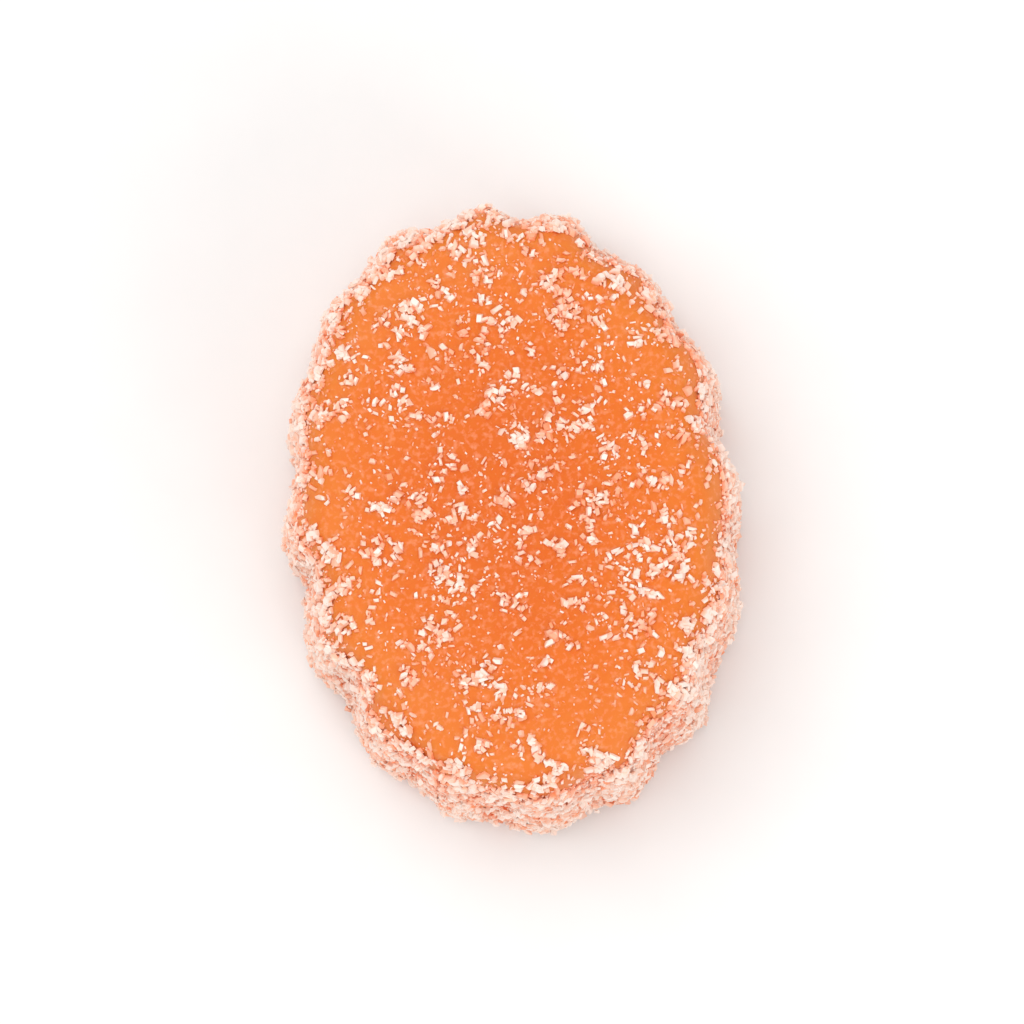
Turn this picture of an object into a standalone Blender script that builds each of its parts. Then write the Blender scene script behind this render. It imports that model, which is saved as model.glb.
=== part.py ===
"""One sugared fruit jelly: a fluted oval that was cast in a mould and rolled in sugar.

It lies on its wide base with +Z up and its length along Y. The origin is the middle of the base.
The sides lean in as they rise, round over a soft shoulder and end in a face that is nearly flat.
Clumps of sugar stand out of the skin, close together on the sides and scattered on the face.
"""

import math
import random

import bmesh
import bpy
from mathutils import Matrix, Vector, noise

MM = 0.001
UP = Vector((0, 0, 1))

# The whole sweet
LENGTH = 31.0 * MM
WIDTH = 23.2 * MM
HEIGHT = 13.0 * MM
OVAL_POWER = 2.12  # 2 is a true ellipse, and more is squarer

# Flutes round the side
FLUTES = 16
FLUTE_DEPTH = 0.72 * MM
FLUTE_SOFTNESS = 0.30  # rounds the bottom of each groove
FLUTE_DRIFT = 0.09  # how far the flutes stray from even spacing, in radians
FLUTE_UNEVEN = 0.45  # share by which their depth strays
STRAY_RATE = 1.7  # how fast both change round the sweet
DRIFT_LAYER = 3.1  # two slices of the same noise, one for each
DEPTH_LAYER = 8.6

# Half section: rounded foot, leaning side, shoulder, face
FOOT_RADIUS = 0.8 * MM
SIDE_LEAN = 0.65 * MM
SHOULDER_REACH = 2.2 * MM
SHOULDER_HEIGHT = 2.7 * MM
FACE_DOME = 0.35 * MM
FOOT_STEPS = 2
SIDE_STEPS = 4
SHOULDER_STEPS = 5
FACE_RINGS = (0.84, 0.62, 0.38, 0.15)  # shares of the way from the middle to the rim
FLUTE_LEFT = 0.12  # share of the flute depth that reaches the face
FLUTE_FADE = 1.5  # above 1 the flutes fade sooner as the shoulder turns

# Unevenness of the skin
SAG_SIZE = 9.0 * MM
SAG_DEPTH = 0.22 * MM
CRUST_SIZE = 1.6 * MM
CRUST_DEPTH = 0.19 * MM
FACE_CRUST = 0.3  # share of the crust's depth on the face

# Mesh
POINTS_PER_FLUTE = 8
RING_POINTS = FLUTES * POINTS_PER_FLUTE

# Clumps of sugar that are large enough to stand out
SEED = 31
SIDE_CLUMPS = 148
SHOULDER_CLUMPS = 36
FACE_CLUMPS = 38
CLUMP_LONG = (0.60 * MM, 1.05 * MM)
CLUMP_WIDE = 0.78  # of its length
CLUMP_TALL = 0.64
CLUMP_RISE = 0.05  # how far its middle stands above the skin, as a share of its length
CLUMP_LEAN = math.radians(65)
CRYSTAL_SLANT = math.radians(13)  # a sugar crystal's sides lean by this much
CORNER_WEAR = 0.13  # how far a corner strays, as a share of the clump's length
CLUMP_SPACING = 1.4 * MM
CLUMP_CLEARANCE = 0.9 * MM  # of the floor, so that the base stays flat
TRIES_PER_CLUMP = 400
SKIN_NUDGE = 0.02  # step along the skin, in radians or rows, that gives its slope

# Jelly orange under a dull skin of fine sugar
JELLY_ORANGE = (0.90, 0.22, 0.045, 1.0)
JELLY_ROUGHNESS = 0.55


def stray(turn, layer):
    """A number between -1 and 1 that changes smoothly round the sweet."""
    return noise.noise(Vector((math.cos(turn), math.sin(turn), layer)) * STRAY_RATE)


def groove_depth(turn):
    """How deep the outline is cut at this turn: nothing on the crest of a flute."""
    wave = abs(math.cos(FLUTES / 2 * (turn + FLUTE_DRIFT * stray(turn, DRIFT_LAYER))))
    crest = math.hypot(1, FLUTE_SOFTNESS)
    cut = (crest - math.hypot(wave, FLUTE_SOFTNESS)) / (crest - FLUTE_SOFTNESS)
    return cut * FLUTE_DEPTH * (1 + FLUTE_UNEVEN * stray(turn, DEPTH_LAYER))


def oval_point(turn, inset, flute_share):
    """A point of the outline at this turn, taken in by inset and by its share of the flutes."""
    cosine = math.cos(turn)
    sine = math.sin(turn)
    power = 2 / OVAL_POWER
    x = WIDTH / 2 * math.copysign(abs(cosine) ** power, cosine)
    y = LENGTH / 2 * math.copysign(abs(sine) ** power, sine)
    outward = Vector((x / WIDTH**2, y / LENGTH**2, 0)).normalized()
    return Vector((x, y, 0)) - outward * (inset + flute_share * groove_depth(turn))


def half_section():
    """The section from the foot to the rim of the face: a list of (inset, height, flute share)."""
    rows = []
    for step in range(FOOT_STEPS):
        angle = math.pi / 2 * step / FOOT_STEPS
        inset = FOOT_RADIUS * (1 - math.sin(angle))
        rows.append((inset, FOOT_RADIUS * (1 - math.cos(angle)), 1.0))
    side_top = HEIGHT - FACE_DOME - SHOULDER_HEIGHT
    for step in range(SIDE_STEPS):
        share = step / SIDE_STEPS
        height = FOOT_RADIUS + share * (side_top - FOOT_RADIUS)
        rows.append((share * SIDE_LEAN, height, 1.0))
    for step in range(SHOULDER_STEPS + 1):
        angle = math.pi / 2 * step / SHOULDER_STEPS
        inset = SIDE_LEAN + SHOULDER_REACH * (1 - math.cos(angle))
        flute_share = FLUTE_LEFT + (1 - FLUTE_LEFT) * math.cos(angle) ** FLUTE_FADE
        rows.append((inset, side_top + SHOULDER_HEIGHT * math.sin(angle), flute_share))
    return rows


def uneven(point, outward, crust_share):
    """The point moved a little along outward, as a soft sweet sags and its crust is lumpy."""
    rise = min(1, point.z / FOOT_RADIUS)  # the base stays flat
    sag = SAG_DEPTH * noise.noise(point / SAG_SIZE)
    crust = crust_share * CRUST_DEPTH * noise.noise(point / CRUST_SIZE)
    return point + outward * rise * (sag + crust)


def side_point(turn, row):
    """The skin at this turn and section row. The row is (inset, height, flute share)."""
    inset, height, flute_share = row
    point = oval_point(turn, inset, flute_share) + UP * height
    outward = Vector((point.x, point.y, 0)).normalized()
    return uneven(point, UP.lerp(outward, flute_share).normalized(), flute_share)


def face_point(turn, share):
    """The skin of the face, share of the way from its middle to its rim."""
    rim_inset, rim_height, rim_flutes = half_section()[-1]
    flat = oval_point(turn, rim_inset, rim_flutes * share) * share
    height = rim_height + FACE_DOME * (1 - share**2)
    return uneven(flat + UP * height, UP, FACE_CRUST)


def next_ring(mesh, edges):
    """Extrudes an open loop of edges, and returns the new points and edges."""
    made = bmesh.ops.extrude_edge_only(mesh, edges=edges)["geom"]
    points = [item for item in made if isinstance(item, bmesh.types.BMVert)]
    loop = [item for item in made if isinstance(item, bmesh.types.BMEdge) and item.is_boundary]
    return points, loop


def make_jelly(material):
    """The cast jelly: a flat base drawn up ring by ring to the face."""
    mesh = bmesh.new()
    turn_of = mesh.verts.layers.float.new("turn")
    bmesh.ops.create_circle(mesh, cap_ends=True, segments=RING_POINTS, radius=1)
    rows = half_section()
    for point in mesh.verts:
        point[turn_of] = math.atan2(point.co.y, point.co.x)
        point.co = side_point(point[turn_of], rows[0])
    loop = mesh.edges[:]
    for row in rows[1:]:
        points, loop = next_ring(mesh, loop)
        for point in points:
            point.co = side_point(point[turn_of], row)
    for share in FACE_RINGS:
        points, loop = next_ring(mesh, loop)
        for point in points:
            point.co = face_point(point[turn_of], share)
    middle = bmesh.ops.edgeloop_fill(mesh, edges=loop)["faces"]
    bmesh.ops.poke(mesh, faces=middle)
    bmesh.ops.recalc_face_normals(mesh, faces=mesh.faces)
    return make_object("jelly_sweet", mesh, material)


def make_object(name, mesh, material):
    """Turns a bmesh into an object in the scene."""
    data = bpy.data.meshes.new(name)
    mesh.to_mesh(data)
    mesh.free()
    data.materials.append(material)
    made = bpy.data.objects.new(name, data)
    bpy.context.scene.collection.objects.link(made)
    return made


def skin_point(turn, station):
    """The skin at a turn and a station, which counts section rows and then runs over the face."""
    rows = half_section()
    if station > len(rows) - 1:
        return face_point(turn, len(rows) - station)
    low = min(int(station), len(rows) - 2)
    mix = station - low
    row = [below + (above - below) * mix for below, above in zip(rows[low], rows[low + 1])]
    return side_point(turn, row)


def skin_axes(turn, station):
    """A matrix whose Z stands off the skin there, with X round the sweet."""
    after = skin_point(turn + SKIN_NUDGE, station)
    before = skin_point(turn - SKIN_NUDGE, station)
    above = skin_point(turn, station + SKIN_NUDGE)
    below = skin_point(turn, station - SKIN_NUDGE)
    around = (after - before).normalized()
    normal = around.cross(above - below).normalized()
    return Matrix((around, normal.cross(around), normal)).transposed().to_4x4()


def clump_places(draw):
    """A point and axes for each clump, none nearer to another than CLUMP_SPACING."""
    side_start = FOOT_STEPS
    side_end = FOOT_STEPS + SIDE_STEPS
    rim = side_end + SHOULDER_STEPS
    zones = (
        (SIDE_CLUMPS, side_start, side_end),
        (SHOULDER_CLUMPS, side_end, rim),
        (FACE_CLUMPS, rim, rim + 1),
    )
    places = []
    for wanted, low, high in zones:
        found = 0
        for _ in range(wanted * TRIES_PER_CLUMP):
            if found == wanted:
                break
            share = draw.random()
            if low == rim:
                share = 1 - math.sqrt(share)  # even over the area of the face
            turn = draw.uniform(0, math.tau)
            station = low + share * (high - low - SKIN_NUDGE)
            point = skin_point(turn, station)
            near = any((point - other).length < CLUMP_SPACING for other, _ in places)
            if near or point.z < CLUMP_CLEARANCE:
                continue
            places.append((point, skin_axes(turn, station)))
            found += 1
    return places


def make_clump(name, point, axes, draw, material):
    """One slanting, worn block of sugar, half sunk in the skin."""
    long_side = draw.uniform(*CLUMP_LONG)
    size = Vector((long_side, long_side * CLUMP_WIDE, long_side * CLUMP_TALL))
    slant = Matrix.Shear("XY", 4, (math.tan(CRYSTAL_SLANT), 0))
    spin = Matrix.Rotation(draw.uniform(0, math.tau), 4, "Z")
    lean = Matrix.Rotation(draw.uniform(-CLUMP_LEAN, CLUMP_LEAN), 4, "X")
    stand = Matrix.Translation(UP * CLUMP_RISE * long_side)
    mesh = bmesh.new()
    bmesh.ops.create_cube(mesh, size=1, matrix=slant @ Matrix.Diagonal((*size, 1)))
    for corner in mesh.verts:
        wear = Vector([draw.uniform(-1, 1) for _ in corner.co])
        corner.co += wear * CORNER_WEAR * long_side
    bmesh.ops.triangulate(mesh, faces=mesh.faces)
    mesh.transform(Matrix.Translation(point) @ axes @ stand @ spin @ lean)
    return make_object(name, mesh, material)


def fuse(body, pieces):
    """Joins the pieces to the body with one Boolean union, then removes them."""
    group = bpy.data.collections.new("sugar")
    bpy.context.scene.collection.children.link(group)
    for piece in pieces:
        bpy.context.scene.collection.objects.unlink(piece)
        group.objects.link(piece)
    union = body.modifiers.new("fuse_sugar", "BOOLEAN")
    union.operation = "UNION"
    union.operand_type = "COLLECTION"
    union.collection = group
    union.solver = "EXACT"
    bpy.context.view_layer.objects.active = body
    bpy.ops.object.modifier_apply(modifier=union.name)
    for piece in pieces:
        bpy.data.objects.remove(piece)
    bpy.data.collections.remove(group)


def centre_on_base(body):
    """Slides the sweet so that the middle of its bounding box is over the origin."""
    across = [point.co.x for point in body.data.vertices]
    along = [point.co.y for point in body.data.vertices]
    middle = Vector((min(across) + max(across), min(along) + max(along), 0)) / 2
    body.data.transform(Matrix.Translation(-middle))


def jelly_material():
    """Orange fruit jelly under a dull skin of fine sugar."""
    material = bpy.data.materials.new("orange_jelly")
    material.use_nodes = True
    shader = material.node_tree.nodes["Principled BSDF"]
    shader.inputs["Base Color"].default_value = JELLY_ORANGE
    shader.inputs["Roughness"].default_value = JELLY_ROUGHNESS
    shader.inputs["Metallic"].default_value = 0.0
    return material


def main():
    for leftover in list(bpy.data.objects):
        bpy.data.objects.remove(leftover)
    draw = random.Random(SEED)
    material = jelly_material()
    jelly = make_jelly(material)
    clumps = []
    for number, (point, axes) in enumerate(clump_places(draw)):
        clumps.append(make_clump(f"clump_{number:03d}", point, axes, draw, material))
    fuse(jelly, clumps)
    centre_on_base(jelly)
    jelly.data.shade_flat()


main()
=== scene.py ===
"""The looks of one sugared fruit jelly: a fluted oval of orange jelly under a coat of sugar.

The jelly is shaped from an oval loop. Its sugar lies on it as real grains, thick on the
sides, in lumps along the rim, and thin in clumps and strings on the face. Sizes are in metres.
"""

import logging
import math
from collections.abc import Callable, Iterable, Iterator
from contextlib import contextmanager
from dataclasses import astuple, dataclass, field
from enum import Enum
from typing import ClassVar

import bmesh
import bpy
import numpy as np
from mathutils import Matrix, Vector, noise


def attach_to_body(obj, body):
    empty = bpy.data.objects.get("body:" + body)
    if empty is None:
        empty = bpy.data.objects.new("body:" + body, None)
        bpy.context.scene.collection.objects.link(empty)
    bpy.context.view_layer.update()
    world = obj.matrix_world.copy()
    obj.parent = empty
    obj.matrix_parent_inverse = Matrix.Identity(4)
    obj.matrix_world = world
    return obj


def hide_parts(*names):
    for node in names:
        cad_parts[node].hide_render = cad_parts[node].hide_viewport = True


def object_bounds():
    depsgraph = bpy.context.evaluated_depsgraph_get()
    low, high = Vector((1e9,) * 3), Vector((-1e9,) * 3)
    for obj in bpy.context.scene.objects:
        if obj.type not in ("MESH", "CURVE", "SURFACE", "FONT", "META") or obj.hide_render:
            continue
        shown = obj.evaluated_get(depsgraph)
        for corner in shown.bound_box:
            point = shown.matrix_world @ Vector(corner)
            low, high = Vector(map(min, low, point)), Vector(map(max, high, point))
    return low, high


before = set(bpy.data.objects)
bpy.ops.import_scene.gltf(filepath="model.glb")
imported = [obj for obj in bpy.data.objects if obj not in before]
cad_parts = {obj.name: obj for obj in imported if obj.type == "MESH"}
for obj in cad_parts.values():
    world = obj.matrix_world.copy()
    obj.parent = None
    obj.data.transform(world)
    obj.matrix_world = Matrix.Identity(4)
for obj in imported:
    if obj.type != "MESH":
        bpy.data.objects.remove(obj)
cad_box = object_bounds()

MM = 0.001
NODE = "jelly_sweet"
BODY = "root"
SAME_LEVEL = 1e-7  # points whose heights differ by less are in one ring
FLOOR_GAP = 0.01 * MM  # how far above the floor a grain's lowest point must stay
UPRIGHT = 0.9  # past this a normal is too near the upward axis to turn a grain by that axis
MIX_FROM, MIX_TO, MIX_RESULT = 6, 7, 2  # the Mix node's sockets for colours
log = logging.getLogger("fruit_jelly")

Test = Callable[[bmesh.types.BMVert], bool]
Settings = dict[str | int, object]
Curve = tuple[tuple[float, float], ...]


def linear(colour: str, alpha: float = 1.0) -> tuple[float, float, float, float]:
    """Turns an sRGB hex colour to the linear one that shaders take.

    Args:
        colour: Six hex digits after a hash.
        alpha: The fourth number of the result.

    Returns:
        Red, green, blue and alpha.
    """
    parts = [int(colour[i:i + 2], 16) / 255 for i in (1, 3, 5)]
    red, green, blue = (p / 12.92 if p <= 0.04045 else ((p + 0.055) / 1.055) ** 2.4 for p in parts)
    return red, green, blue, alpha


def add_node(tree: bpy.types.NodeTree, kind: str, links: Settings | None = None,
             sockets: Settings | None = None, **settings: object) -> bpy.types.Node:
    """Adds one node with its settings and links.

    Args:
        tree: The node tree of a material or world.
        kind: The node's type name.
        links: Input name or number to the output socket that feeds it.
        sockets: Input name or number to a fixed value.
        **settings: The node's own properties.

    Returns:
        The new node.
    """
    node = tree.nodes.new(kind)
    for name, value in settings.items():
        setattr(node, name, value)
    for name, value in (sockets or {}).items():
        node.inputs[name].default_value = value
    for name, source in (links or {}).items():
        tree.links.new(source, node.inputs[name])
    return node


def new_material(name: str) -> tuple[bpy.types.Material, bpy.types.NodeTree]:
    """Makes an empty node material.

    Args:
        name: The material's name.

    Returns:
        The material and its node tree.
    """
    material = bpy.data.materials.new(name)
    material.use_nodes = True
    material.node_tree.nodes.clear()
    return material, material.node_tree


def colour_steps(node: bpy.types.Node, steps: Iterable[tuple[float, str]]) -> None:
    """Sets a colour ramp's stops.

    Args:
        node: The ramp node.
        steps: Pairs of a place from 0 to 1 and a hex colour, in order.
    """
    steps = list(steps)
    stops = node.color_ramp.elements
    while len(stops) < len(steps):
        stops.new(1.0)
    for stop, (place, colour) in zip(stops, steps):
        stop.position = place
        stop.color = linear(colour)


@contextmanager
def editing(piece: bpy.types.Object) -> Iterator[None]:
    """Opens a piece in edit mode with nothing else selected, and closes it again.

    Args:
        piece: The piece, in object mode.

    Yields:
        Nothing.
    """
    bpy.ops.object.select_all(action="DESELECT")
    piece.select_set(True)
    bpy.context.view_layer.objects.active = piece
    bpy.ops.object.mode_set(mode="EDIT")
    bpy.ops.mesh.select_mode(type="VERT")
    try:
        yield
    finally:
        bpy.ops.object.mode_set(mode="OBJECT")


def choose(piece: bpy.types.Object, test: Test) -> None:
    """Selects the points of the piece being edited that pass a test, and no others.

    Args:
        piece: The piece in edit mode.
        test: Says whether a point is wanted.
    """
    mesh = bmesh.from_edit_mesh(piece.data)
    for item in (*mesh.faces, *mesh.edges):
        item.select_set(False)
    for point in mesh.verts:
        point.select_set(test(point))
    mesh.select_flush(True)
    bmesh.update_edit_mesh(piece.data)


def apply_modifier(piece: bpy.types.Object, kind: str, **settings: object) -> None:
    """Adds a modifier to a piece and applies it.

    Args:
        piece: The piece.
        kind: The modifier's type name.
        **settings: The modifier's own properties.
    """
    modifier = piece.modifiers.new(kind.lower(), kind)
    for name, value in settings.items():
        setattr(modifier, name, value)
    bpy.ops.object.select_all(action="DESELECT")
    piece.select_set(True)
    bpy.context.view_layer.objects.active = piece
    bpy.ops.object.modifier_apply(modifier=modifier.name)


def settle(piece: bpy.types.Object) -> None:
    """Puts a closed piece's faces in the order of their points.

    Extruding and cutting leave them in another order each run, and the scattered grains
    would then change places with it.

    Args:
        piece: The piece, in object mode.
    """
    mesh = piece.data
    points = [tuple(point.co) for point in mesh.vertices]
    faces = []
    for face in mesh.polygons:
        corners = tuple(face.vertices)
        first = corners.index(min(corners))
        faces.append(corners[first:] + corners[:first])
    mesh.clear_geometry()
    mesh.from_pydata(points, [], sorted(faces))


def waves(places: Iterable[Vector], size: float) -> np.ndarray:
    """A smooth number for each place, from about -1 to 1, that changes over this size."""
    return np.array([noise.noise(Vector(place) / size) for place in places])


def follow(curve: Curve, values: np.ndarray) -> np.ndarray:
    """What a curve, as pairs of a value and a result, gives for each value."""
    return np.interp(values, *zip(*curve))


def attach(piece: bpy.types.Object, finish: bpy.types.Material) -> None:
    """Gives a piece its finish, its body and its place in the record.

    Args:
        piece: The finished piece.
        finish: Its material.
    """
    piece.data.materials.clear()
    piece.data.materials.append(finish)
    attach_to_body(piece, BODY)
    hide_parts(NODE)


@dataclass(frozen=True)
class JellyFinish:
    """Pectin fruit jelly, cast in a starch mould: cloudy orange, soft and barely shining.

    Light goes only a little way in, and red light furthest, which softens the shadows. The colour
    is painted deeper in the thick middle and lighter towards the thin shoulder, as painted light
    shining through the jelly. Where sugar has rubbed the skin it keeps a pale film of dust, and
    crumbs too small to be modelled leave faint flecks all over.
    """

    # Painted light: the ramp runs from the deep thick middle to the lighter thin shoulder, where
    # light shines through the jelly, and a little deeper again on the side
    deep: str = "#E46E18"
    middle: str = "#E97820"
    shoulder: str = "#EA8230"
    side: str = "#EC762A"
    steps: tuple[float, ...] = (0.32, 0.62, 0.80, 0.92)  # where these four lie, from the middle out
    outline: float = 0.8  # where the oval's outline lies on the same scale
    mottle_share: float = 0.24  # how far mottling moves them on it
    mottle_size: float = 2.6 * MM
    film: str = "#FFBA98"
    fleck_size: float = 0.26 * MM  # coarser than real crumbs, which wouldn't show
    fleck_range: tuple[float, float] = (0.5, 0.75)  # of the noise, from clear skin to a full fleck
    fleck_cover: float = 0.4
    detail: float = 2.0
    pore_size: float = 0.32 * MM  # coarser than real pores, which wouldn't show
    pore_depth: float = 0.05 * MM
    pore_strength: float = 0.6
    pore_detail: float = 3.0
    roughness: float = 0.5
    shine: float = 0.3
    ior: float = 1.40
    cloudiness: float = 0.6
    reach: float = 0.5 * MM
    reach_by_colour: tuple[float, float, float] = (1.0, 0.75, 0.6)

    def build(self, width: float, length: float) -> bpy.types.Material:
        """Makes the material.

        Args:
            width: The jelly's width, which the colour follows.
            length: The jelly's length.

        Returns:
            The material.
        """
        material, tree = new_material("pectin_jelly_cast")
        place = add_node(tree, "ShaderNodeTexCoord").outputs["Object"]
        colour = add_node(tree, "ShaderNodeMix",
                          {"Factor": self.add_dust(tree, place),
                           MIX_FROM: self.add_orange_and_painted_light(tree, place, width, length)},
                          {MIX_TO: linear(self.film)}, data_type="RGBA")
        pores = add_node(tree, "ShaderNodeTexNoise", {"Vector": place},
                         {"Scale": 1 / self.pore_size, "Detail": self.pore_detail})
        bump = add_node(tree, "ShaderNodeBump", {"Height": pores.outputs["Fac"]},
                        {"Strength": self.pore_strength, "Distance": self.pore_depth})
        skin = add_node(tree, "ShaderNodeBsdfPrincipled",
                        {"Base Color": colour.outputs[MIX_RESULT],
                         "Normal": bump.outputs["Normal"]},
                        {"Roughness": self.roughness, "IOR": self.ior,
                         "Specular IOR Level": self.shine,
                         "Subsurface Weight": self.cloudiness, "Subsurface Scale": self.reach,
                         "Subsurface Radius": self.reach_by_colour})
        add_node(tree, "ShaderNodeOutputMaterial", {"Surface": skin.outputs[0]})
        return material

    def add_orange_and_painted_light(self, tree: bpy.types.NodeTree, place: bpy.types.NodeSocket, width: float,
                   length: float) -> bpy.types.NodeSocket:
        """Colours the clean jelly in mottled ovals, from its deep middle out to its side, with
        painted light through the thin shoulder.

        Args:
            tree: The material's node tree.
            place: The socket that gives the place on the piece.
            width: The jelly's width.
            length: The jelly's length.

        Returns:
            The socket with the colour.
        """
        across = 2 * self.outline
        oval = add_node(tree, "ShaderNodeMapping", {"Vector": place},
                        {"Scale": (across / width, across / length, 0.0)})
        radius = add_node(tree, "ShaderNodeVectorMath", {0: oval.outputs[0]}, operation="LENGTH")
        mottle = add_node(tree, "ShaderNodeTexNoise", {"Vector": place},
                          {"Scale": 1 / self.mottle_size, "Detail": self.detail})
        spread = add_node(tree, "ShaderNodeMath",
                          {0: mottle.outputs["Fac"], 2: radius.outputs["Value"]},
                          {1: self.mottle_share}, operation="MULTIPLY_ADD")
        ramp = add_node(tree, "ShaderNodeValToRGB", {"Fac": spread.outputs[0]})
        colour_steps(ramp, zip(self.steps, (self.deep, self.middle, self.shoulder, self.side)))
        return ramp.outputs["Color"]

    def add_dust(self, tree: bpy.types.NodeTree,
                 place: bpy.types.NodeSocket) -> bpy.types.NodeSocket:
        """Says how pale the skin is: as the film on it, or where that is thin, as its flecks.

        Args:
            tree: The material's node tree.
            place: The socket that gives the place on the piece.

        Returns:
            The socket with the share of pale dust.
        """
        film = add_node(tree, "ShaderNodeAttribute", attribute_name="film")
        crumbs = add_node(tree, "ShaderNodeTexNoise", {"Vector": place},
                          {"Scale": 1 / self.fleck_size, "Detail": self.detail})
        clear, full = self.fleck_range
        flecks = add_node(tree, "ShaderNodeMapRange", {"Value": crumbs.outputs["Fac"]},
                          {"From Min": clear, "From Max": full, "To Max": self.fleck_cover})
        dust = add_node(tree, "ShaderNodeMath",
                        {0: film.outputs["Fac"], 1: flecks.outputs["Result"]}, operation="MAXIMUM")
        return dust.outputs[0]


@dataclass(frozen=True)
class SugarFinish:
    """Granulated sugar: small worn crystals, clear inside and white in a heap.

    A clear grain is painted with the orange of the jelly seen through it, and painted more orange
    at its foot as the jelly's light; a grain that is bruised or high in the coat is nearly white, so
    each grain has its own whiteness.
    """

    shades: tuple[str, ...] = ("#FF9E6C", "#FFB28E", "#FFCCB2", "#FFE9DC")
    roughness: float = 0.3
    ior: float = 1.54

    def build(self) -> bpy.types.Material:
        """Makes the material.

        Returns:
            The material.
        """
        material, tree = new_material("granulated_sugar")
        whiteness = add_node(tree, "ShaderNodeAttribute", attribute_name="whiteness")
        ramp = add_node(tree, "ShaderNodeValToRGB", {"Fac": whiteness.outputs["Fac"]})
        last = len(self.shades) - 1
        colour_steps(ramp, ((step / last, shade) for step, shade in enumerate(self.shades)))
        grain = add_node(tree, "ShaderNodeBsdfPrincipled", {"Base Color": ramp.outputs["Color"]},
                         {"Roughness": self.roughness, "IOR": self.ior})
        add_node(tree, "ShaderNodeOutputMaterial", {"Surface": grain.outputs[0]})
        return material


@dataclass(frozen=True)
class BoardFinish:
    """White painted board: flat, bright and without shine."""

    white: str = "#F8F7F6"
    grain: str = "#F4F3F2"
    fleck_size: float = 4.0 * MM
    roughness: float = 0.9
    shine: float = 0.1

    def build(self) -> bpy.types.Material:
        """Makes the material.

        Returns:
            The material.
        """
        material, tree = new_material("white_board")
        place = add_node(tree, "ShaderNodeTexCoord").outputs["Object"]
        fleck = add_node(tree, "ShaderNodeTexNoise", {"Vector": place},
                         {"Scale": 1 / self.fleck_size})
        colour = add_node(tree, "ShaderNodeMix", {"Factor": fleck.outputs["Fac"]},
                          {MIX_FROM: linear(self.white), MIX_TO: linear(self.grain)},
                          data_type="RGBA")
        board = add_node(tree, "ShaderNodeBsdfPrincipled",
                         {"Base Color": colour.outputs[MIX_RESULT]},
                         {"Roughness": self.roughness, "Specular IOR Level": self.shine})
        add_node(tree, "ShaderNodeOutputMaterial", {"Surface": board.outputs[0]})
        return material


@dataclass(frozen=True)
class Unevenness:
    """Smooth random swells and dips in the jelly's skin."""

    name: str
    size: float
    depth: float


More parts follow.
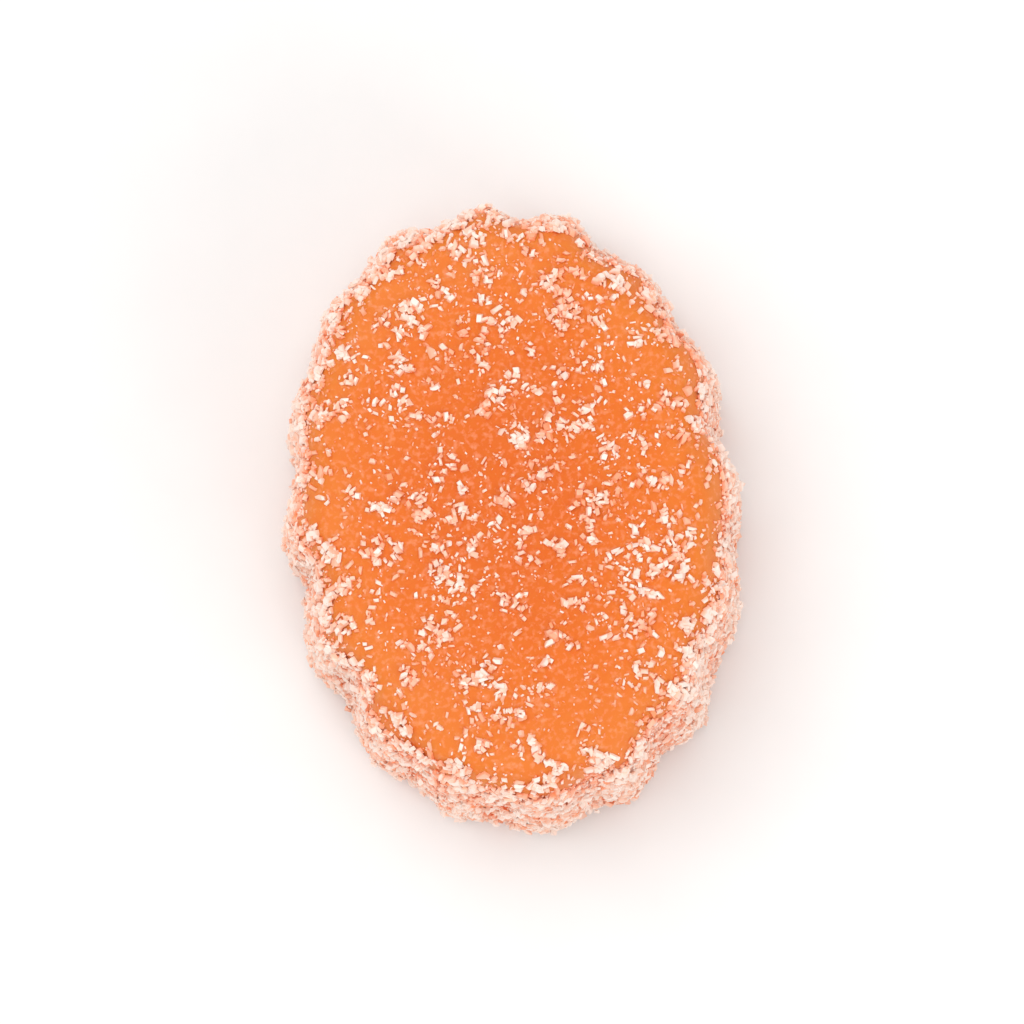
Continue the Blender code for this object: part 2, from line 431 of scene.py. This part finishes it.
@dataclass
class JellyBody:
    """The cast jelly under the sugar, drawn up ring by ring from a fluted oval loop.

    A curve by slope takes the upward part of the skin's normal, which is -1 on the base, 0 on an
    upright side and 1 on the face.
    """

    length: float = 30.95 * MM
    width: float = 22.85 * MM
    height: float = 13.1 * MM
    lift: float = 0.22 * MM  # the sugar under the base holds the jelly off the floor by this
    squareness: float = 0.018  # how far the oval swells at its four quarters
    flutes: int = 16
    flute_depth: float = 0.70 * MM  # rounding the mesh leaves four fifths of it
    depth_spread: float = 0.4
    drift: float = math.radians(1.6)  # how far a groove may turn from its even place
    groove: tuple[float, ...] = (1.0, 0.66, 0.22, 0.0)  # depth from the groove out to the crest
    foot: float = 0.8 * MM
    lean: float = 0.65 * MM
    shoulder_reach: float = 2.2 * MM
    shoulder_height: float = 2.7 * MM
    dome: float = 0.35 * MM
    foot_rings: int = 2
    side_rings: int = 6
    shoulder_rings: int = 6
    inner_rings: tuple[float, ...] = (0.86, 0.70, 0.52)  # of the face and the base, to their rims
    flute_left: float = 0.12  # how much of the flutes' depth the face's rim keeps
    flute_fade: float = 1.5  # above 1, they fade sooner on the shoulder
    rounding: int = 2
    unevenness: tuple[Unevenness, ...] = (
        Unevenness("sag", 9.0 * MM, 0.5 * MM), Unevenness("crust", 1.5 * MM, 0.22 * MM))
    film_by_slope: Curve = ((-1.0, 0.5), (-0.5, 0.5), (0.12, 0.55), (0.5, 0.1), (1.0, 0.0))
    film_patchiness: float = 0.7
    film_patch_size: float = 1.1 * MM
    film_ridge_share: float = 0.3  # how much thicker the film is on a flute's crest
    ridges_by_slope: Curve = ((0.3, 1.0), (0.8, 0.0))  # how far a flute counts, up or down
    seed: int = 7
    finish: JellyFinish = JellyFinish()
    piece: bpy.types.Object = field(init=False)
    ring_height: float = field(init=False, default=0.0)
    ring_inset: float = field(init=False, default=0.0)
    ring_flutes: float = field(init=False, default=1.0)

    @property
    def flank_points(self) -> int:
        """Points from a groove's middle to the crest beside it."""
        return len(self.groove) - 1

    @property
    def ring_points(self) -> int:
        """Points in one ring, with two flanks for each flute."""
        return self.flutes * 2 * self.flank_points

    def build(self) -> None:
        """Models the jelly, with a film attribute on its points."""
        bpy.ops.object.select_all(action="DESELECT")
        bpy.ops.mesh.primitive_circle_add(vertices=self.ring_points, radius=1.0)
        self.piece = bpy.context.active_object
        self.piece.name = self.piece.data.name = "jelly_body"
        with editing(self.piece):
            self.number_columns()
            self.shape_outline()
            self.draw_side()
            self.turn_shoulder()
            self.close_face()
            self.close_base()
            bpy.ops.mesh.select_all(action="SELECT")
            bpy.ops.mesh.normals_make_consistent(inside=False)
        settle(self.piece)
        self.soften()
        self.add_film()

    def dress(self) -> None:
        """Gives the finished jelly its looks."""
        attach(self.piece, self.finish.build(self.width, self.length))

    def number_columns(self) -> None:
        """Numbers the loop's points by angle. Rings that are extruded from it keep the numbers."""
        mesh = bmesh.from_edit_mesh(self.piece.data)
        column = mesh.verts.layers.int.new("column")
        for point in mesh.verts:
            turn = math.atan2(point.co.y, point.co.x) % math.tau
            point[column] = round(turn / math.tau * self.ring_points) % self.ring_points
        bmesh.update_edit_mesh(self.piece.data)

    def choose_columns(self, wanted: Callable[[int], bool]) -> None:
        """Selects points of the present ring.

        Args:
            wanted: Says whether a column is wanted, from its number.
        """
        column = bmesh.from_edit_mesh(self.piece.data).verts.layers.int["column"]
        level = self.ring_height
        choose(self.piece,
               lambda point: abs(point.co.z - level) < SAME_LEVEL and wanted(point[column]))

    def choose_ring(self) -> None:
        """Selects the whole of the present ring."""
        self.choose_columns(lambda column: True)

    def size_chosen(self, across: float, along: float) -> None:
        """Scales the selected points about the sweet's own axis."""
        bpy.ops.transform.resize(value=(across, along, 1), center_override=(0, 0, 0))

    def shape_outline(self) -> None:
        """Makes the loop an oval with uneven flutes, and sets it at the foot."""
        draw = np.random.default_rng(self.seed)
        self.size_chosen(self.width / 2, self.length / 2)
        for flute in range(self.flutes):
            drift = draw.uniform(-self.drift, self.drift)
            depth = self.flute_depth * (1 + draw.uniform(-self.depth_spread, self.depth_spread))
            self.press_flute(flute, depth, drift)
        self.choose_ring()
        self.size_chosen(1 - 2 * self.foot / self.width, 1 - 2 * self.foot / self.length)
        bpy.ops.transform.translate(value=(0, 0, self.lift))
        self.ring_height = self.lift
        self.ring_inset = self.foot

    def press_flute(self, flute: int, depth: float, drift: float) -> None:
        """Swells the outline at one flute, then presses its groove in and turns it a little.

        Args:
            flute: The flute's number.
            depth: How deep its groove is.
            drift: How far the groove turns about the sweet's own axis.
        """
        flank = self.flank_points
        valley = (2 * flute + 1) * flank
        turn = valley / self.ring_points * math.tau
        radius = math.hypot(self.width / 2 * math.cos(turn), self.length / 2 * math.sin(turn))
        swell = 1 + self.squareness * math.sin(2 * turn) ** 2
        members = {(valley + away) % self.ring_points for away in range(-flank, flank)}
        self.choose_columns(lambda column: column in members)
        self.size_chosen(swell, swell)
        for away, share in enumerate(self.groove[:-1]):
            pair = {(valley + away) % self.ring_points, (valley - away) % self.ring_points}
            self.choose_columns(lambda column, pair=pair: column in pair)
            press = 1 - share * depth / radius
            self.size_chosen(press, press)
            bpy.ops.transform.rotate(value=drift * share, orient_axis="Z",
                                     center_override=(0, 0, 0))

    def extrude_ring(self, height: float) -> None:
        """Extrudes the present ring up to a height, and leaves the new one selected."""
        self.choose_ring()
        rise = height - self.ring_height
        bpy.ops.mesh.extrude_region_move(TRANSFORM_OT_translate={"value": (0, 0, rise)})
        self.ring_height = height

    def next_ring(self, height: float, inset: float, flute_share: float = 1.0) -> None:
        """Extrudes the present ring, sizes it, and lets its flutes fade.

        Args:
            height: The new ring's height above the floor.
            inset: How far in from the full outline it is.
            flute_share: How much of the flutes' depth it has.
        """
        self.extrude_ring(height)
        self.size_chosen((self.width / 2 - inset) / (self.width / 2 - self.ring_inset),
                         (self.length / 2 - inset) / (self.length / 2 - self.ring_inset))
        self.ring_inset = inset
        if flute_share != self.ring_flutes:
            self.fade_flutes(flute_share)

    def fade_flutes(self, flute_share: float) -> None:
        """Swells the present ring's grooves until this share of the flutes' depth is left.

        Args:
            flute_share: How much of the flutes' depth the ring has.
        """
        radius = (self.width + self.length) / 4 - self.ring_inset
        flank = self.flank_points
        for away, share in enumerate(self.groove[:-1]):
            places = {flank + away, flank - away}
            self.choose_columns(lambda column, places=places: column % (2 * flank) in places)
            cut = share * self.flute_depth / radius
            swell = (1 - cut * flute_share) / (1 - cut * self.ring_flutes)
            self.size_chosen(swell, swell)
        self.ring_flutes = flute_share

    def draw_side(self) -> None:
        """Rounds the foot and draws the leaning side up to the shoulder."""
        for step in range(1, self.foot_rings + 1):
            angle = math.pi / 2 * step / self.foot_rings
            height = self.lift + self.foot * (1 - math.cos(angle))
            self.next_ring(height, self.foot * (1 - math.sin(angle)))
        top = self.height - self.dome - self.shoulder_height
        bottom = self.ring_height
        for step in range(1, self.side_rings + 1):
            share = step / self.side_rings
            self.next_ring(bottom + (top - bottom) * share, self.lean * share)

    def turn_shoulder(self) -> None:
        """Rounds the side over into the face while the flutes fade."""
        bottom = self.ring_height
        for step in range(1, self.shoulder_rings + 1):
            angle = math.pi / 2 * step / self.shoulder_rings
            height = bottom + self.shoulder_height * math.sin(angle)
            inset = self.lean + self.shoulder_reach * (1 - math.cos(angle))
            fade = math.cos(angle) ** self.flute_fade
            self.next_ring(height, inset, self.flute_left + (1 - self.flute_left) * fade)

    def close_face(self) -> None:
        """Draws the face in over its low dome, and fills its middle."""
        rim = self.ring_height
        last = 1.0
        for share in self.inner_rings:
            self.extrude_ring(rim + self.dome * (1 - share**2))
            self.size_chosen(share / last, share / last)
            last = share
        self.choose_ring()
        bpy.ops.mesh.fill_grid(span=self.ring_points // 4)

    def close_base(self) -> None:
        """Draws the flat base in from the foot, and fills its middle."""
        self.ring_height = self.lift
        self.choose_ring()
        last = 1.0
        for share in self.inner_rings:
            bpy.ops.mesh.extrude_region_move(TRANSFORM_OT_translate={"value": (0, 0, 0)})
            self.size_chosen(share / last, share / last)
            last = share
        bpy.ops.mesh.fill_grid(span=self.ring_points // 4)

    def soften(self) -> None:
        """Rounds the mesh, then makes it sag and swell a little as soft jelly does."""
        apply_modifier(self.piece, "SUBSURF", levels=self.rounding, render_levels=self.rounding)
        above = self.piece.vertex_groups.new(name="above_base")
        for point in self.piece.data.vertices:
            share = min(1.0, (point.co.z - self.lift) / self.foot)
            above.add([point.index], max(0.0, share), "REPLACE")
        for uneven in self.unevenness:
            texture = bpy.data.textures.new(uneven.name, "CLOUDS")
            texture.noise_scale = uneven.size
            texture.noise_depth = 1
            apply_modifier(self.piece, "DISPLACE", texture=texture, texture_coords="LOCAL",
                           strength=uneven.depth, mid_level=0.5, vertex_group="above_base")
        self.piece.vertex_groups.clear()
        bpy.ops.object.shade_smooth()

    def crests(self, places: np.ndarray) -> np.ndarray:
        """How near places are to a flute's crest: from 1 on it to -1 in the groove beside it."""
        turns = np.arctan2(places[:, 1] / self.length, places[:, 0] / self.width)
        return np.cos(self.flutes * turns)

    def ridges(self, places: np.ndarray, up: np.ndarray) -> np.ndarray:
        """How near places are to a flute's crest, but fading to 0 on the face and the base.

        Args:
            places: Places on the skin.
            up: The upward part of the normal at each.

        Returns:
            One number for each place.
        """
        return follow(self.ridges_by_slope, np.abs(up)) * self.crests(places)

    def add_film(self) -> None:
        """Stores how much fine sugar dust lies on the skin: most on the sides, less in grooves."""
        mesh = self.piece.data
        normals = np.empty(len(mesh.vertices) * 3, np.float32)
        mesh.vertex_normals.foreach_get("vector", normals)
        cover = follow(self.film_by_slope, normals.reshape(-1, 3)[:, 2])
        places = np.array([point.co for point in mesh.vertices])
        patches = self.film_patchiness * waves(places, self.film_patch_size)
        uneven = 1 + patches + self.film_ridge_share * self.crests(places)
        film = np.clip(cover * uneven, 0, 1)
        mesh.attributes.new("film", "FLOAT", "POINT").data.foreach_set(
            "value", film.astype(np.float32))


@dataclass(frozen=True)
class Chip:
    """A corner broken off a crystal."""

    corner: tuple[int, int, int]  # the signs of its place
    share: float  # how much is lost of the way from it to the middle


@dataclass(frozen=True)
class Form:
    """How a crystal of about unit length is cut from a block."""

    size: tuple[float, float, float]
    taper: tuple[float, float]  # the top's sizes, as shares of the bottom's
    slide: tuple[float, float]  # how far the top is pushed aside
    chips: tuple[Chip, ...]


class Habit(Enum):
    """The four ways in which the sugar's crystals are grown and broken."""

    BLOCK = Form((1.0, 0.82, 0.66), (0.86, 0.80), (0.10, 0.05), (Chip((1, 1, 1), 0.36),))
    SLAB = Form((1.0, 0.76, 0.42), (0.90, 0.74), (0.16, -0.06),
                (Chip((1, -1, 1), 0.40), Chip((-1, 1, 1), 0.30)))
    STUB = Form((0.92, 0.88, 0.80), (0.72, 0.80), (-0.06, 0.08), (Chip((-1, -1, 1), 0.34),))
    SHARD = Form((1.2, 0.60, 0.54), (0.56, 0.74), (0.14, 0.06),
                 (Chip((1, 1, -1), 0.40), Chip((-1, 1, 1), 0.44)))


@dataclass
class Crystal:
    """One sugar crystal of about unit length, whose mesh every grain of a kind repeats."""

    habit: Habit
    chipped: bool

    def cut(self) -> tuple[np.ndarray, np.ndarray]:
        """Models the crystal and takes its mesh as arrays.

        Returns:
            Its points, centred on the origin, and its triangles.
        """
        form = self.habit.value
        bpy.ops.object.select_all(action="DESELECT")
        bpy.ops.mesh.primitive_cube_add(size=1)
        piece = bpy.context.active_object
        with editing(piece):
            bpy.ops.mesh.select_all(action="SELECT")
            bpy.ops.transform.resize(value=form.size)
            choose(piece, lambda point: point.co.z > 0)
            bpy.ops.transform.resize(value=(*form.taper, 1), center_override=(0, 0, 0))
            bpy.ops.transform.translate(value=(*form.slide, 0))
            for chip in form.chips if self.chipped else ():
                outward = Vector(chip.corner) * Vector(form.size) / 2
                bpy.ops.mesh.select_all(action="SELECT")
                bpy.ops.mesh.bisect(plane_co=outward * (1 - chip.share), plane_no=outward,
                                    use_fill=True, clear_outer=True)
        settle(piece)
        mesh = piece.data
        mesh.calc_loop_triangles()
        points = np.array([point.co for point in mesh.vertices])
        faces = np.array([triangle.vertices for triangle in mesh.loop_triangles])
        bpy.data.objects.remove(piece)
        bpy.data.meshes.remove(mesh)
        return points - points.mean(0), faces


@dataclass
class Skin:
    """The jelly's surface as arrays, from which places for sugar grains are drawn."""

    corners: np.ndarray
    normals: np.ndarray
    areas: np.ndarray
    ridges: np.ndarray  # from 1 on a flute's crest to -1 in a groove, and 0 on the face

    @classmethod
    def of(cls, jelly: JellyBody) -> "Skin":
        """Reads the jelly's triangles.

        Args:
            jelly: The jelly, already built.

        Returns:
            Its skin.
        """
        mesh = jelly.piece.data
        mesh.calc_loop_triangles()
        points = np.empty(len(mesh.vertices) * 3)
        mesh.vertices.foreach_get("co", points)
        picks = np.empty(len(mesh.loop_triangles) * 3, np.int32)
        mesh.loop_triangles.foreach_get("vertices", picks)
        corners = points.reshape(-1, 3)[picks].reshape(-1, 3, 3)
        across = np.cross(corners[:, 1] - corners[:, 0], corners[:, 2] - corners[:, 0])
        twice = np.linalg.norm(across, axis=1)
        normals = across / twice[:, None]
        return cls(corners, normals, twice / 2, jelly.ridges(corners.mean(1), normals[:, 2]))

    def patches(self, *sizes: float) -> np.ndarray:
        """How patchy the sugar is on each triangle, about 0, as waves of these sizes sum up."""
        middles = self.corners.mean(1)
        return sum(waves(middles, size) for size in sizes)

    def draw(self, weights: np.ndarray, count: int,
             draw: np.random.Generator) -> tuple[np.ndarray, np.ndarray]:
        """Draws places at random.

        Args:
            weights: How likely each triangle is, for each unit of its area.
            count: How many places to draw.
            draw: The source of random numbers.

        Returns:
            The places and the skin's normals there.
        """
        chance = weights * self.areas
        picks = draw.choice(len(chance), count, p=chance / chance.sum())
        share = draw.random((count, 2))
        share = np.where(share.sum(1, keepdims=True) > 1, 1 - share, share)
        first, second, third = self.corners[picks].transpose(1, 0, 2)
        places = first + share[:, :1] * (second - first) + share[:, 1:] * (third - first)
        return places, self.normals[picks]


@dataclass(frozen=True)
class Cover:
    """How thick sugar lies on each part of the jelly, from 0 for none to 1."""

    SLOPES: ClassVar[tuple[float, ...]] = (-1.0, -0.5, 0.12, 0.36, 0.62, 0.97)

    base: float
    foot: float
    side: float
    shoulder: float
    rim: float
    face: float

    def at(self, up: np.ndarray) -> np.ndarray:
        """The thickness where the normal's upward part is this, blended from part to part."""
        return np.interp(up, self.SLOPES, astuple(self))


@dataclass
class Grains:
    """Sugar grains of one kind, scattered over the skin as one piece.

    A grain's layer is 0 at the skin and 1 at the top of the coat.
    """

    name: str
    count: int
    size: tuple[float, float]
    cover: Cover
    chipped: bool = True
    patchiness: float = 1.2
    patch_sizes: tuple[float, ...] = (1.1 * MM, 3.4 * MM)
    least_by_slope: Curve = ((0.36, 0.45), (0.62, 0.02))  # what bare patches keep, side to face
    ridge_share: float = 0.4  # how much thicker it lies on a flute's crest than on its flank
    layering: float = 1.5  # above 1, more of the grains lie low in the coat
    half_height: float = 0.35  # of a grain, as a share of its size
    sunk: float = 0.25  # share of a grain's size below the skin
    stacked: float = 0.0  # how far off the skin the top grains of the coat stand
    lean: float = 0.3  # how far grains lean at the skin
    lean_above: float = 1.4  # how much further they may lean at the top of the coat
    whiteness: float = 0.4
    whiteness_above: float = 0.5  # how much whiter they are at the top of the coat
    whiteness_spread: float = 0.26
    pale_patches: float = 0.3
    pale_patch_size: float = 2.4 * MM
    clouding: float = 0.1  # how uneven the whiteness is within one grain
    # Painted light: the jelly's orange light through a grain, painted stronger at its foot
    painted_foot_light: float = 0.5  # how much more orange a grain is at its foot than at its top
    long: tuple[float, float] = (0.8, 1.5)
    thick: tuple[float, float] = (0.7, 1.1)
    skew: float = 0.12
    wear: float = 0.03
    seed: int = 1

    def thickness(self, skin: Skin) -> np.ndarray:
        """How thick the grains lie, by the skin's slope, its flutes and patches.

        Args:
            skin: The jelly's skin.

        Returns:
            One number for each triangle.
        """
        up = skin.normals[:, 2]
        cover = self.cover.at(up) * (1 + self.ridge_share * skin.ridges)
        patches = 1 + self.patchiness * skin.patches(*self.patch_sizes)
        return cover * np.maximum(patches, follow(self.least_by_slope, up))

    def places(self, skin: Skin, draw: np.random.Generator) -> tuple[np.ndarray, np.ndarray]:
        """Draws a place and a normal for every grain."""
        return skin.draw(self.thickness(skin), self.count, draw)

    def build(self, skin: Skin) -> bpy.types.Object:
        """Scatters the grains.

        Args:
            skin: The jelly's skin.

        Returns:
            The piece, with a whiteness attribute on its points.
        """
        draw = np.random.default_rng(self.seed)
        places, normals = self.places(skin, draw)
        count = len(places)
        sizes = draw.uniform(*self.size, count)
        steep = np.clip(1 - normals[:, 2], 0, 1)
        layer = draw.random(count) ** self.layering * steep
        lean = draw.normal(0, self.lean, count)
        lean += draw.uniform(-self.lean_above, self.lean_above, count) * layer
        turns = self.turns(normals, draw.uniform(0, math.tau, count), lean,
                           draw.uniform(0, math.tau, count))
        off_skin = sizes * (self.half_height - self.sunk) + layer * self.stacked
        places = places + normals * off_skin[:, None]
        pale = self.pale_patches * waves(places, self.pale_patch_size)
        white = self.whiteness + self.whiteness_above * layer + pale
        white += draw.normal(0, self.whiteness_spread, count)
        stretch = draw.normal(0, self.skew, (count, 3, 3))
        stretch[:, 0, 0] = draw.uniform(*self.long, count)
        stretch[:, 1, 1] = draw.uniform(*self.thick, count)
        stretch[:, 2, 2] = draw.uniform(*self.thick, count)
        turns = turns @ stretch * sizes[:, None, None]
        return self.join(places, turns, white, draw)

    @staticmethod
    def turns(normals: np.ndarray, spin: np.ndarray, lean: np.ndarray,
              way: np.ndarray) -> np.ndarray:
        """Rotation matrices that stand grains on the skin.

        Args:
            normals: The skin's normals.
            spin: Each grain's turn about the normal.
            lean: How far it then leans.
            way: The direction it leans in.

        Returns:
            One three by three matrix for each grain.
        """
        level = np.abs(normals[:, 2:]) < UPRIGHT
        helper = np.where(level, [[0.0, 0.0, 1.0]], [[1.0, 0.0, 0.0]])
        side = np.cross(helper, normals)
        side /= np.linalg.norm(side, axis=1, keepdims=True)
        front = np.cross(normals, side)
        tilt = np.cos(way)[:, None] * side + np.sin(way)[:, None] * front
        up = np.cos(lean)[:, None] * normals + np.sin(lean)[:, None] * tilt
        first = np.cos(spin)[:, None] * side + np.sin(spin)[:, None] * front
        first -= up * (first * up).sum(1, keepdims=True)
        first /= np.linalg.norm(first, axis=1, keepdims=True)
        return np.stack([first, np.cross(up, first), up], axis=2)

    def join(self, places: np.ndarray, turns: np.ndarray, white: np.ndarray,
             draw: np.random.Generator) -> bpy.types.Object:
        """Joins all the grains to one mesh.

        Args:
            places: Their middles.
            turns: The matrix that sizes, stretches and turns each.
            white: The whiteness of each.
            draw: The source of random numbers.

        Returns:
            The piece.
        """
        points = []
        faces = []
        shades = []
        start = 0
        kinds = draw.integers(0, len(Habit), len(places))
        for kind, habit in enumerate(Habit):
            shape, triangles = Crystal(habit, self.chipped).cut()
            mine = np.nonzero(kinds == kind)[0]
            worn = shape + draw.uniform(-self.wear, self.wear, (len(mine), *shape.shape))
            placed = np.einsum("gij,gpj->gpi", turns[mine], worn) + places[mine, None]
            placed[..., 2] += np.clip(FLOOR_GAP - placed[..., 2].min(1), 0, None)[:, None]
            points.append(placed.reshape(-1, 3))
            first = start + np.arange(len(mine))[:, None, None] * len(shape)
            faces.append((triangles + first).reshape(-1, 3))
            cloudy = draw.normal(0, self.clouding, worn.shape[:2])
            # painted light: each grain is painted more orange at its foot, for the jelly's light
            # seen through it
            shades.append((white[mine, None] + self.painted_foot_light * worn[..., 2] + cloudy).ravel())
            start += len(mine) * len(shape)
        mesh = bpy.data.meshes.new(self.name)
        mesh.from_pydata(np.concatenate(points), [], np.concatenate(faces))
        mesh.attributes.new("whiteness", "FLOAT", "POINT").data.foreach_set(
            "value", np.clip(np.concatenate(shades), 0, 1).astype(np.float32))
        piece = bpy.data.objects.new(self.name, mesh)
        bpy.context.scene.collection.objects.link(piece)
        return piece


@dataclass
class Clumps(Grains):
    """Grains that caught each other as the jelly was rolled: heaps and short curved strings.

    The count is of clumps here, and each holds several grains.
    """

    grains: tuple[int, int] = (2, 8)
    heap_share: float = 0.35
    heap_spread: float = 0.17 * MM
    heap_height: float = 0.16 * MM
    heap_levels: tuple[float, float] = (0.3, 1.6)  # shares of that height, at the heap's middle
    string_heading: tuple[float, float] = (math.pi / 2, 0.8)  # mean and spread, so mostly lengthwise
    string_curl: float = 0.5
    string_step: float = 0.17 * MM
    string_gaps: tuple[float, float] = (0.7, 1.3)  # shares of that step
    string_spread: float = 0.06 * MM

    def places(self, skin: Skin, draw: np.random.Generator) -> tuple[np.ndarray, np.ndarray]:
        """Draws the clumps' middles, and then their grains.

        Args:
            skin: The jelly's skin.
            draw: The source of random numbers.

        Returns:
            A place and a normal for every grain.
        """
        middles, normals = skin.draw(self.thickness(skin), self.count, draw)
        places = []
        upright = []
        for middle, normal in zip(middles, normals):
            grains = draw.integers(*self.grains)
            shape = self.heap if draw.random() < self.heap_share else self.string
            offsets = shape(grains, draw)
            height = offsets[:, 2:].copy()
            offsets[:, 2] = 0
            offsets -= (offsets @ normal)[:, None] * normal
            places.append(middle + offsets + height * normal)
            upright.append(np.repeat(normal[None], grains, axis=0))
        return np.concatenate(places), np.concatenate(upright)

    def heap(self, grains: int, draw: np.random.Generator) -> np.ndarray:
        """Piles grains, highest at the middle.

        Args:
            grains: How many there are.
            draw: The source of random numbers.

        Returns:
            Two offsets along the skin and a height for each.
        """
        offsets = draw.normal(0, self.heap_spread, (grains, 3))
        middling = np.exp(-(offsets[:, :2] ** 2).sum(1) / (2 * self.heap_spread**2))
        offsets[:, 2] = self.heap_height * middling * draw.uniform(*self.heap_levels, grains)
        return offsets

    def string(self, grains: int, draw: np.random.Generator) -> np.ndarray:
        """Strings grains along a bend, flat on the skin.

        Args:
            grains: How many there are.
            draw: The source of random numbers.

        Returns:
            Two offsets along the skin and a height of 0 for each.
        """
        heading = draw.normal(*self.string_heading)
        heading = heading + draw.normal(0, self.string_curl) * np.arange(grains)
        steps = self.string_step * draw.uniform(*self.string_gaps, grains)
        offsets = draw.normal(0, self.string_spread, (grains, 3))
        offsets[:, 0] += np.cumsum(steps * np.cos(heading))
        offsets[:, 1] += np.cumsum(steps * np.sin(heading))
        offsets[:, 2] = 0
        return offsets


@dataclass
class SugarCoat:
    """All the sugar on the sweet, kind by kind."""

    kinds: tuple[Grains, ...] = (
        Grains("sugar_coarse", 4700, (0.30 * MM, 0.44 * MM),
               Cover(0.35, 0.8, 1.0, 1.0, 0.26, 0.05), stacked=0.18 * MM, seed=11),
        Grains("sugar_medium", 10600, (0.22 * MM, 0.32 * MM),
               Cover(0.5, 0.9, 1.0, 1.0, 0.28, 0.10), stacked=0.16 * MM, seed=12),
        Grains("sugar_fine", 11000, (0.14 * MM, 0.23 * MM),
               Cover(0.5, 0.9, 1.0, 1.0, 0.34, 0.22), stacked=0.14 * MM, seed=13),
        Grains("sugar_dust", 16000, (0.07 * MM, 0.13 * MM),
               Cover(0.5, 1.0, 1.0, 1.0, 0.5, 0.4), chipped=False, patchiness=0.7,
               stacked=0.12 * MM, seed=14),
        Clumps("sugar_clumps", 320, (0.20 * MM, 0.37 * MM),
               Cover(0.0, 0.0, 0.0, 0.5, 1.0, 1.0), sunk=0.1, whiteness=0.6, seed=15),
        Clumps("sugar_lumps", 360, (0.26 * MM, 0.40 * MM),
               Cover(0.0, 0.3, 0.4, 1.0, 0.9, 0.0), sunk=0.1, whiteness=0.85, pale_patches=0.0,
               grains=(5, 14), heap_share=1.0, heap_spread=0.22 * MM, heap_height=0.24 * MM,
               seed=16),
    )
    finish: SugarFinish = SugarFinish()
    pieces: list[bpy.types.Object] = field(init=False, default_factory=list)

    def build(self, jelly: JellyBody) -> None:
        """Scatters every kind over the finished jelly, as one piece for each kind."""
        skin = Skin.of(jelly)
        self.pieces = [grains.build(skin) for grains in self.kinds]

    def dress(self) -> None:
        """Gives every kind the same looks."""
        sugar = self.finish.build()
        for piece in self.pieces:
            attach(piece, sugar)


@dataclass(frozen=True)
class Softbox:
    """A square soft light that faces the sweet."""

    name: str
    place: tuple[float, float, float]
    side: float
    watts: float

    def hang(self) -> None:
        """Adds the light to the scene."""
        data = bpy.data.lights.new(self.name, "AREA")
        data.size = self.side
        data.energy = self.watts
        light = bpy.data.objects.new(self.name, data)
        light.location = self.place
        light.rotation_euler = (-Vector(self.place)).to_track_quat("-Z", "Y").to_euler()
        light.visible_camera = False
        bpy.context.scene.collection.objects.link(light)


@dataclass
class Studio:
    """The white board, the soft lights and the camera."""

    board_size: float = 1.6
    corner_radius: float = 0.4
    corner_segments: int = 12
    overhead: Softbox = Softbox("overhead_softbox", (-0.12, 0.10, 0.62), 0.55, 2.3)
    fill: Softbox = Softbox("front_fill", (0.30, -0.45, 0.40), 0.35, 0.95)
    ambient: float = 0.6
    lens: float = 260.0
    sensor: float = 36.0
    frame_share: float = 0.62  # of the picture's height that the sweet's length takes
    elevation: float = math.radians(84)
    azimuth: float = math.radians(1.5)
    roll: float = math.radians(7.5)
    clip_ratio: float = 10.0  # the view starts this much nearer than the sweet, and ends as far past

    def build(self) -> None:
        """Lays the board, hangs the lights and stands the camera."""
        self.lay_board()
        self.overhead.hang()
        self.fill.hang()
        self.fill_room()
        self.stand_camera()
        bpy.context.scene.view_settings.view_transform = "Standard"

    def lay_board(self) -> None:
        """Lays a board whose rounded corners lie far outside the picture."""
        bpy.ops.object.select_all(action="DESELECT")
        bpy.ops.mesh.primitive_plane_add(size=self.board_size)
        board = bpy.context.active_object
        board.name = board.data.name = "white_board"
        with editing(board):
            bpy.ops.mesh.select_all(action="SELECT")
            bpy.ops.mesh.bevel(offset=self.corner_radius, segments=self.corner_segments,
                               affect="VERTICES")
        board.data.materials.append(BoardFinish().build())

    def fill_room(self) -> None:
        """Fills the room with even white light."""
        world = bpy.data.worlds.new("white_room")
        world.use_nodes = True
        background = world.node_tree.nodes["Background"]
        background.inputs["Color"].default_value = (1.0, 1.0, 1.0, 1.0)
        background.inputs["Strength"].default_value = self.ambient
        bpy.context.scene.world = world

    def stand_camera(self) -> None:
        """Stands the camera nearly overhead, a little in front, with the sweet leaning left."""
        low, high = cad_box
        middle = (low + high) / 2
        across = (high.y - low.y) / self.frame_share
        distance = across * self.lens / self.sensor
        back = Vector((math.sin(self.azimuth) * math.cos(self.elevation),
                       -math.cos(self.azimuth) * math.cos(self.elevation),
                       math.sin(self.elevation)))
        data = bpy.data.cameras.new("camera")
        data.lens = self.lens
        data.sensor_width = self.sensor
        camera = bpy.data.objects.new("camera", data)
        facing = (-back).to_track_quat("-Z", "Y").to_matrix().to_4x4()
        camera.matrix_world = (Matrix.Translation(middle + back * distance) @ facing
                               @ Matrix.Rotation(-self.roll, 4, "Z"))
        data.clip_start = distance / self.clip_ratio
        data.clip_end = distance * self.clip_ratio
        bpy.context.scene.collection.objects.link(camera)
        bpy.context.scene.camera = camera


def main() -> None:
    """Builds the jelly, its sugar and the studio, and logs the faces of each piece."""
    logging.basicConfig(level=logging.INFO, format="%(name)s: %(message)s")
    jelly = JellyBody()
    jelly.build()
    jelly.dress()
    coat = SugarCoat()
    coat.build(jelly)
    coat.dress()
    for piece in (jelly.piece, *coat.pieces):
        log.info("%s: %d faces", piece.name, len(piece.data.polygons))
    Studio().build()


if __name__ == "__main__":
    main()
